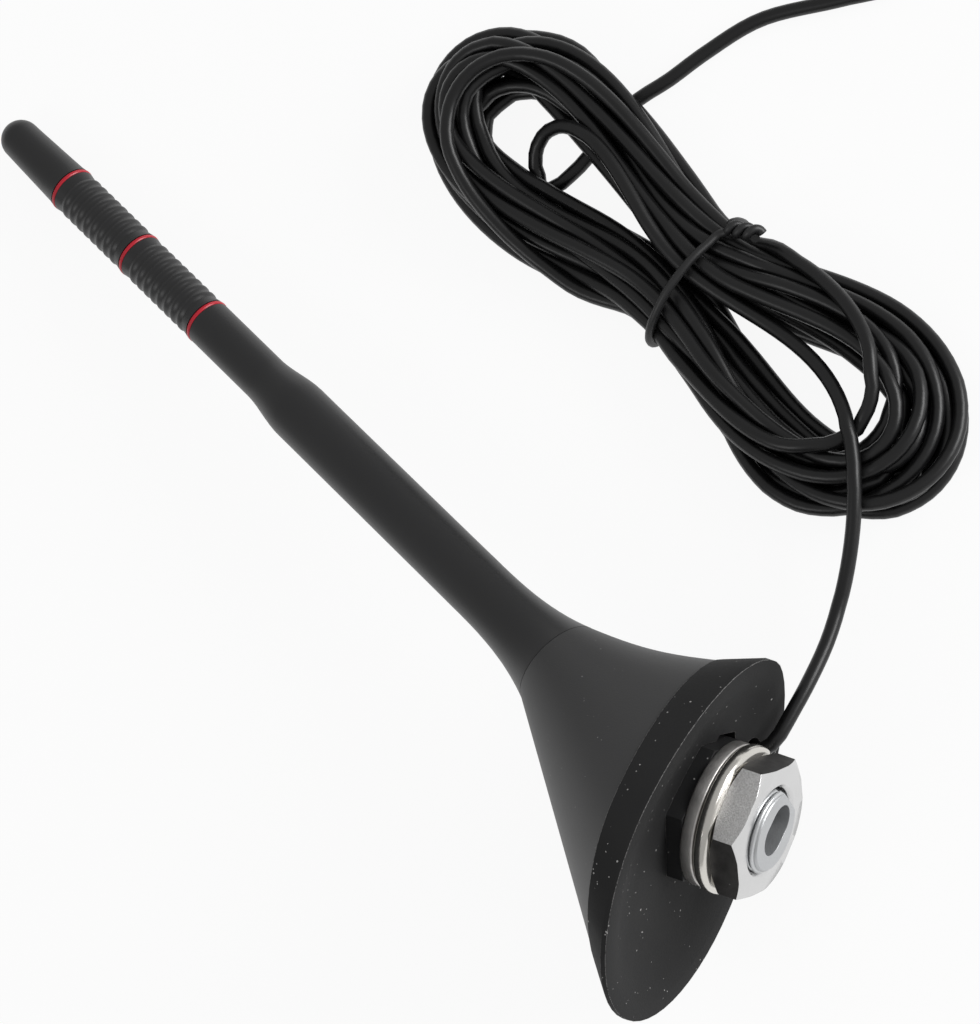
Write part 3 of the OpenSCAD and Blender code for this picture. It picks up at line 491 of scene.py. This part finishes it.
nodeLooks = dict(
    gasket="padRubber", locating_block="blockNylon", base_casting="zincCasting", housing="softCone",
    plate_screws="steelScrew", grommet="grommetRubber", lead_entry="leadPvc", cable_clamp="clampSteel",
    clamp_screw="steelScrew", mast_socket="turnedBrass", socket_bush="naturalBush", contact_lug="tinnedLug",
    feed_wire="bareCopper", mast_ferrule="turnedBrass", mast_sleeve="mastSleeve", ring_lower="redRing",
    ring_middle="redRing", ring_upper="redRing", whip_rod="glassRod", whip_winding="windingWire",
    flat_washer="darkWasher", spring_washer="springNickel", nut="nutNickel", lead_run="leadPvc",
    lead_hank="leadPvc", lead_tail="leadPvc", twist_tie="tieCoating", plug_boot="grommetRubber",
    plug_barrel="barrelNickel", plug_insulator="whiteInsulator", plug_pin="barrelNickel",
)
for node, look in nodeLooks.items():
    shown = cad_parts[node]
    shown.data.materials.clear()
    shown.data.materials.append(looks[look])
print("finishes on the packed nodes")

# The antenna's own axes, as on its drawing: Z is the stud's axis, up out of the roof, and X is rearward
drawing = dict(lean=23.4, roll=14.0, tilt=5.749021, origin=(-0.09798447, -0.00525456, 0.02479445))


def drawingAxes(d):
    tilted = Matrix.Rotation(math.radians(d["tilt"]), 4, "Y")
    turn = tilted @ Matrix.Rotation(math.radians(d["roll"] - 90), 4, "X")
    return Matrix.Translation(d["origin"]) @ turn @ Matrix.Rotation(math.radians(90 - d["lean"]), 4, "Y")


toScene = drawingAxes(drawing)
toOwn = toScene.inverted()


def blended(node, name, look, body, material, sharpest=32.0):
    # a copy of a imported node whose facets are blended, while its real edges stay sharp
    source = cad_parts[node]
    mesh = source.data.copy()
    mesh.name = name
    mesh.transform(source.matrix_world)
    work = bmesh.new()
    work.from_mesh(mesh)
    bmesh.ops.remove_doubles(work, verts=work.verts, dist=1e-6)
    for face in work.faces:
        face.smooth = True
    for edge in work.edges:
        edge.smooth = edge.calc_face_angle(math.pi) < math.radians(sharpest)
    work.to_mesh(mesh)
    work.free()
    mesh.materials.clear()
    mesh.materials.append(looks[look])
    made = bpy.data.objects.new(name, mesh)
    scene.collection.objects.link(made)
    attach(made, body)
    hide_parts(node)
    return made


blendedPieces = dict(
    housing=("coneSkin", "softCone", "base", "cone"),
    gasket=("roofPad", "padRubber", "base", "rubber"),
    locating_block=("roofBlock", "blockNylon", "base", "block"),
    base_casting=("studCasting", "zincCasting", "base", "zinc"),
    lead_entry=("leadInside", "leadPvc", "base", "lead"),
    mast_sleeve=("mastSkin", "mastSleeve", "mast", "sleeve"),
    ring_lower=("redRingLow", "redRing", "mast", "red"),
    ring_middle=("redRingMiddle", "redRing", "mast", "red"),
    ring_upper=("redRingTop", "redRing", "mast", "red"),
    flat_washer=("flatWasher", "darkWasher", "washers", "washer"),
    spring_washer=("springWasher", "springNickel", "washers", "spring"),
    nut=("hexNut", "nutNickel", "nut", "nut"),
    plug_boot=("plugBoot", "grommetRubber", "base", "grommet"),
    plug_barrel=("plugBarrel", "barrelNickel", "base", "barrel"),
    plug_insulator=("plugInsulator", "whiteInsulator", "base", "insulator"),
    plug_pin=("plugPin", "barrelNickel", "base", "barrel"),
)
pieces = {node: blended(node, *given) for node, given in blendedPieces.items()}
print("facets blended on", len(pieces), "pieces")

nutFaces = dict(sideBelow=0.1, outwardShare=0.7, upAbove=0.9)


def dressNut(piece, n):
    # faces and chamfers are polished. The side flat that faces up here is grainy, and the others get a nearly
    # black metal as painted shade and reflection, after how dark they look in the photograph; on a real nut
    # all six are most likely the same
    mesh = piece.data
    mesh.materials.append(looks["nutForged"])
    # the near-black metal is painted shade and reflection on the flats that don't face up
    mesh.materials.append(looks["nutPaintedShade"])
    turn = toOwn.to_3x3()
    for face in mesh.polygons:
        way, place = turn @ face.normal, toOwn @ face.center
        outward = way.x * place.x + way.y * place.y
        if abs(way.z) < n["sideBelow"] and outward > n["outwardShare"] * math.hypot(place.x, place.y):
            face.material_index = 1 if face.normal.z > n["upAbove"] else 2


dressNut(pieces["nut"], nutFaces)

opening = dict(block=24.6, gap=1.3, left=0.05, openPastX=12.2, closeTo=0.02)


def closeOpening(piece, o):
    # the rubber is drawn up to the block, and the +X end keeps its gap. The photograph has a soft dark band
    # beside the block, which may be shadow or gap
    turns = [math.radians(30 + 60 * k) for k in range(6)]
    hole = o["block"] / 2 + o["gap"] * math.cos(math.radians(30))
    for v in piece.data.vertices:
        place = (toOwn @ v.co) / mm
        reach = max(place.x * math.cos(t) + place.y * math.sin(t) for t in turns)
        if abs(reach - hole) < o["closeTo"] and place.x < o["openPastX"]:
            share = (o["block"] / 2 + o["left"]) / hole
            place.x, place.y = place.x * share, place.y * share
            v.co = toScene @ (place * mm)


closeOpening(pieces["gasket"], opening)
print("nut and pad opening finished")

stud = dict(
    radius=8.0, root=7.42, pitch=1.0, flatX=6.3, endZ=-13.2, chamfer=0.7, topZ=1.0, steps=56,
    band=0.9, pointIn=0.35, near=0.02, depthShare=0.56, startShare=0.8,
)


def narrowStud(piece, s):
    # the stud's body goes down to the root of its thread, and its flat stays where it is
    for v in piece.data.vertices:
        place = (toOwn @ v.co) / mm
        across = math.hypot(place.x, place.y)
        if place.z < s["topZ"] and s["radius"] - s["band"] < across < s["radius"] + 0.01:
            goal = s["root"] - (s["pointIn"] if place.z < s["endZ"] + 0.1 else 0)
            if place.x > s["flatX"] - s["near"]:
                place.y = math.copysign(math.sqrt(goal ** 2 - s["flatX"] ** 2), place.y)
            else:
                place.x, place.y = place.x * goal / across, place.y * goal / across
            v.co = toScene @ (place * mm)


def threadTree():
    # a helix swept with a pointed section; everything on it is set by name
    tree = bpy.data.node_groups.new("screwThread", "GeometryNodeTree")
    for label, kind in (("Radius", "Float"), ("Depth", "Float"), ("Turns", "Float"), ("Length", "Float"),
                        ("Steps", "Int"), ("Finish", "Material")):
        tree.interface.new_socket(label, in_out="INPUT", socket_type="NodeSocket" + kind)
    tree.interface.new_socket("Thread", in_out="OUTPUT", socket_type="NodeSocketGeometry")
    given, made = tree.nodes.new("NodeGroupInput"), tree.nodes.new("NodeGroupOutput")
    spiral = tree.nodes.new("GeometryNodeCurveSpiral")
    upright = tree.nodes.new("GeometryNodeSetCurveNormal")
    upright.mode = "Z_UP"
    section = tree.nodes.new("GeometryNodeCurvePrimitiveCircle")
    section.inputs["Resolution"].default_value = 4
    sweep = tree.nodes.new("GeometryNodeCurveToMesh")
    sweep.inputs["Fill Caps"].default_value = True
    realize = tree.nodes.new("GeometryNodeRealizeInstances")
    finish = tree.nodes.new("GeometryNodeSetMaterial")
    for start, out, end, into in (
        (given, "Steps", spiral, "Resolution"), (given, "Turns", spiral, "Rotations"),
        (given, "Radius", spiral, "Start Radius"), (given, "Radius", spiral, "End Radius"),
        (given, "Length", spiral, "Height"), (spiral, "Curve", upright, "Curve"),
        (upright, "Curve", sweep, "Curve"), (given, "Depth", section, "Radius"),
        (section, "Curve", sweep, "Profile Curve"), (sweep, "Mesh", realize, "Geometry"),
        (realize, "Geometry", finish, "Geometry"), (given, "Finish", finish, "Material"),
        (finish, "Geometry", made, "Thread"),
    ):
        tree.links.new(start.outputs[out], end.inputs[into])
    return tree


def fromNodes(name, tree, **values):
    # runs a node tree on an empty mesh and keeps what it makes as plain mesh
    holder = bpy.data.objects.new(name + "Maker", bpy.data.meshes.new(name))
    scene.collection.objects.link(holder)
    modifier = holder.modifiers.new("made", "NODES")
    modifier.node_group = tree
    sockets = {item.name: item.identifier for item in tree.interface.items_tree if item.in_out == "INPUT"}
    for label, value in values.items():
        modifier[sockets[label]] = value
    bpy.context.view_layer.update()
    graph = bpy.context.evaluated_depsgraph_get()
    mesh = bpy.data.meshes.new_from_object(holder.evaluated_get(graph), depsgraph=graph)
    bpy.data.objects.remove(holder)
    made = bpy.data.objects.new(name, mesh)
    scene.collection.objects.link(made)
    return made


def cutThread(s):
    depth = s["pitch"] * s["depthShare"]
    length = s["topZ"] - s["endZ"] - s["chamfer"]
    piece = fromNodes("studThread", threadTree(), Radius=s["radius"] - depth, Depth=depth,
                      Turns=length / s["pitch"], Length=length, Steps=s["steps"], Finish=looks["studThread"])
    work = bmesh.new()
    work.from_mesh(piece.data)
    bmesh.ops.remove_doubles(work, verts=work.verts, dist=1e-5)
    everything = work.verts[:] + work.edges[:] + work.faces[:]
    cut = bmesh.ops.bisect_plane(work, geom=everything, plane_co=(s["flatX"], 0, 0), plane_no=(1, 0, 0),
                                 clear_outer=True)
    rim = [e for e in cut["geom_cut"] if isinstance(e, bmesh.types.BMEdge)]
    bmesh.ops.holes_fill(work, edges=rim, sides=0)
    bmesh.ops.recalc_face_normals(work, faces=work.faces)
    work.to_mesh(piece.data)
    work.free()
    lift = Matrix.Translation((0, 0, s["endZ"] + s["chamfer"] * s["startShare"]))
    piece.data.transform(toScene @ Matrix.Scale(mm, 4) @ lift)
    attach(piece, "base")
    return piece


narrowStud(pieces["base_casting"], stud)
studThread = cutThread(stud)
print("thread on the stud:", len(studThread.data.polygons), "faces")

# The tie: one coated wire round the waist of the hank, its two ends twisted together
tie = dict(
    diameter=1.7, points=14, phase=0.4, shortShare=0.85, step=0.35, sides=12,
    twistFrom=(-20.2, -84.4, 10.7), twistTo=(-26.4, -87.4, 11.7), twistTurns=1.6, twistRadius=0.95,
    loop=[(-19.6, -82.2, 11.0), (-19.5, -79.6, 11.8), (-19.5, -76.1, 12.9), (-19.7, -72.3, 13.3),
          (-19.9, -68.2, 12.9), (-20.2, -63.9, 11.3), (-20.4, -60.7, 9.0), (-20.5, -58.8, 6.2),
          (-20.4, -58.6, 3.4), (-20.2, -60.3, 1.3), (-20.0, -64.0, 0.87), (-19.7, -72.3, 0.87),
          (-19.5, -80.6, 0.87), (-19.4, -84.4, 1.3), (-19.4, -86.2, 3.4), (-19.5, -86.4, 6.4),
          (-19.7, -86.0, 8.8)],
)


def twistStrand(t, phase, share=1.0):
    start, end = np.array(t["twistFrom"]), np.array(t["twistTo"])
    ahead = (end - start) / np.linalg.norm(end - start)
    side = np.cross(ahead, (0, 0, 1.0))
    side /= np.linalg.norm(side)
    other = np.cross(side, ahead)
    strand = []
    for k in np.linspace(0, share, t["points"]):
        angle = 2 * math.pi * t["twistTurns"] * k + phase
        strand.append(tuple(start + (end - start) * k
                            + t["twistRadius"] * (math.cos(angle) * side + math.sin(angle) * other)))
    return strand


def bendTie(t):
    route = twistStrand(t, t["phase"])[::-1] + t["loop"]
    route += twistStrand(t, t["phase"] + math.pi, t["shortShare"])
    return tubeAlong("tieWire", smoothRoute(route, t["step"]) * mm, t["diameter"] / 2 * mm, t["sides"])


tieWire = bendTie(tie)
tieWire.data.materials.append(looks["tieCoating"])
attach(tieWire, "base")
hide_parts("twist_tie")
print("tie bent")

leadCord.data.materials.append(looks["leadPvc"])
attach(leadCord, "base")
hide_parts("lead_run", "lead_hank", "lead_tail")

# The studio: a white floor and sky, a key light and a fill light

studio = dict(floorSize=4.0, floorColor=(0.80, 0.80, 0.80), worldLight=0.5, shadowShare=0.08)
lamps = dict(
    keyLamp=dict(place=(-0.7, -1.1, 0.45), target=(0, -0.03, 0.02), size=(1.0, 0.6), power=15.5),
    fillLamp=dict(place=(0.0, 1.0, 1.0), target=(0, -0.03, 0.02), size=(0.4, 0.4), power=2.4),
)


def makeFloor(s):
    mesh = bpy.data.meshes.new("floor")
    h = s["floorSize"]
    mesh.from_pydata([(-h, -h, 0), (h, -h, 0), (h, h, 0), (-h, h, 0)], [], [(0, 1, 2, 3)])
    floor = bpy.data.objects.new("floor", mesh)
    scene.collection.objects.link(floor)
    material = bpy.data.materials.new("studioFloor")
    material.use_nodes = True
    tree = material.node_tree
    tree.nodes.clear()
    path = addNode(tree, "LightPath")
    matte = addNode(tree, "BsdfDiffuse", None, Color=s["floorColor"] + (1,))
    white = addNode(tree, "Emission", None, Color=(1, 1, 1, 1), Strength=1.0)
    looking = calc(tree, "MAXIMUM", path.outputs["Is Camera Ray"], path.outputs["Is Glossy Ray"])
    seen = calc(tree, "MULTIPLY", looking, 1 - s["shadowShare"])
    mix = addNode(tree, "MixShader", None, i0=seen, i1=matte.outputs[0], i2=white.outputs[0])
    addNode(tree, "OutputMaterial", None, Surface=mix.outputs[0])
    mesh.materials.append(material)


def makeWorld(s):
    world = bpy.data.worlds.new("studio")
    scene.world = world
    world.use_nodes = True
    tree = world.node_tree
    tree.nodes.clear()
    path = addNode(tree, "LightPath")
    seen = calc(tree, "MAXIMUM", path.outputs["Is Camera Ray"], path.outputs["Is Transmission Ray"])
    plain = addNode(tree, "Background", None, Color=(1, 1, 1, 1), Strength=s["worldLight"])
    white = addNode(tree, "Background", None, Color=(1, 1, 1, 1), Strength=1.0)
    mix = addNode(tree, "MixShader", None, i0=seen, i1=plain.outputs[0], i2=white.outputs[0])
    addNode(tree, "OutputWorld", None, Surface=mix.outputs[0])


def makeLamp(name, place, target, size, power):
    data = bpy.data.lights.new(name, "AREA")
    data.shape = "RECTANGLE"
    data.size, data.size_y = size
    data.energy = power
    lamp = bpy.data.objects.new(name, data)
    scene.collection.objects.link(lamp)
    lamp.location = place
    lamp.rotation_mode = "QUATERNION"
    lamp.rotation_quaternion = (Vector(target) - Vector(place)).to_track_quat("-Z", "Y")


makeFloor(studio)
makeWorld(studio)
for lampName, lamp in lamps.items():
    makeLamp(lampName, **lamp)
print("studio ready")
scene.view_settings.view_transform = "Standard"
